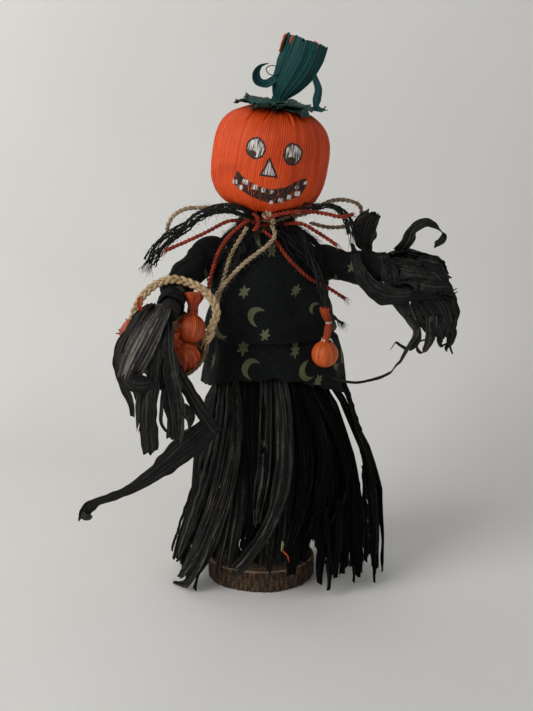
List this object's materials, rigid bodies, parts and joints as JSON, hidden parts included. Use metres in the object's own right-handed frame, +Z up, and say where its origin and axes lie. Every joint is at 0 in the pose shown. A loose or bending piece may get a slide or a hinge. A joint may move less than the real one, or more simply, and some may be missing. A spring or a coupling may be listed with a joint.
{
  "type": "scarecrow doll",
  "caption": "Corn-husk scarecrow doll with a pumpkin head, dark cloth tunic, husk-strip skirt, yarn ties and a small husk basket on one arm, standing on a log slice.",
  "frame": {"origin": "centre of the underside of the log slice, where the doll rests", "axes": "+Z up along the dowel, -Y out of the face, +X to the right as a viewer in front sees it"},
  "size_m": [0.2177, 0.109, 0.3398],
  "materials": {
    "wood": "matte",
    "bark": "matte",
    "dowel": "satin",
    "padding": "matte",
    "orange_husk": "satin",
    "teal_husk": "satin",
    "lining_husk": "satin",
    "black_husk": "satin",
    "black_cloth": "matte",
    "black_yarn": "matte",
    "jute": "matte",
    "orange_yarn": "matte",
    "braid": "satin",
    "bowl_husk": "matte",
    "wire": "satin"
  },
  "bodies": {
    "doll": {"base_wood": "wood", "base_bark": "bark", "centre_post": "dowel", "body_core": "padding", "head_core": "padding", "shoulder_wire": "wire", "head_husk": "orange_husk", "leaf_crown": "teal_husk", "stem_husk": "teal_husk", "stem_curl_left": "teal_husk", "stem_curl_right": "teal_husk", "stem_lining": "lining_husk", "skirt_strip_1": "black_husk", "skirt_strip_2": "black_husk", "skirt_strip_3": "black_husk", "skirt_strip_4": "black_husk", "skirt_strip_5": "black_husk", "skirt_strip_6": "black_husk", "skirt_strip_7": "black_husk", "skirt_strip_8": "black_husk", "skirt_strip_9": "black_husk", "skirt_strip_10": "black_husk", "tunic": "black_cloth", "neck_binding": "black_yarn", "black_bundle_left": "black_yarn", "black_bundle_right": "black_yarn", "black_hanging": "black_yarn", "neck_tie_jute": "jute", "waist_tie": "jute", "jute_tail_short": "jute", "jute_tail_long": "jute", "jute_loop_left": "jute", "jute_loop_right": "jute", "neck_tie_orange": "orange_yarn", "orange_tail_left": "orange_yarn", "orange_strand_left": "orange_yarn", "orange_tail_right": "orange_yarn", "orange_loop_right": "orange_yarn", "orange_strand_right": "orange_yarn"},
    "arm_left": {"sleeve_left": "black_cloth", "arm_roll_left": "padding", "arm_wire_left": "wire", "hand_left_outer": "black_husk", "hand_left_inner": "black_husk", "hand_left_tail": "black_husk"},
    "arm_right": {"sleeve_right": "black_cloth", "arm_roll_right": "padding", "arm_wire_right": "wire", "hand_right_upper": "black_husk", "hand_right_lower": "black_husk", "hand_right_tendril": "black_husk", "sleeve_wrap_right": "black_husk", "tuft_right": "black_husk"},
    "basket": {"basket_bowl": "bowl_husk", "basket_handle": "braid", "pumpkin_1": "orange_husk", "pumpkin_2": "orange_husk", "pumpkin_3": "orange_husk"},
    "pendant_link": {"pendant_wrap": "orange_husk"},
    "pendant_ball_body": {"pendant_ball": "orange_husk"}
  },
  "joints": [
    {"name": "shoulder_left", "type": "hinge", "parent": "doll", "child": "arm_left", "pos_m": [-0.0295, 0, 0.212], "axis": [0, 1, 0], "range_deg": [-6, 20]},
    {"name": "shoulder_right", "type": "hinge", "parent": "doll", "child": "arm_right", "pos_m": [0.0385, 0, 0.207], "axis": [0, -1, 0], "range_deg": [-12, 20]},
    {"name": "basket_swing", "type": "hinge", "parent": "arm_left", "child": "basket", "pos_m": [-0.05, -0.038, 0.193], "axis": [0, 1, 0], "range_deg": [-12, 12]},
    {"name": "pendant_swing", "type": "hinge", "parent": "doll", "child": "pendant_link", "pos_m": [0.038, -0.0315, 0.1884], "axis": [0, -1, 0], "range_deg": [-8, 25]},
    {"name": "pendant_nod", "type": "hinge", "parent": "pendant_link", "child": "pendant_ball_body", "pos_m": [0.038, -0.0315, 0.17845], "axis": [-1, 0, 0], "range_deg": [0, 25]}
  ]
}
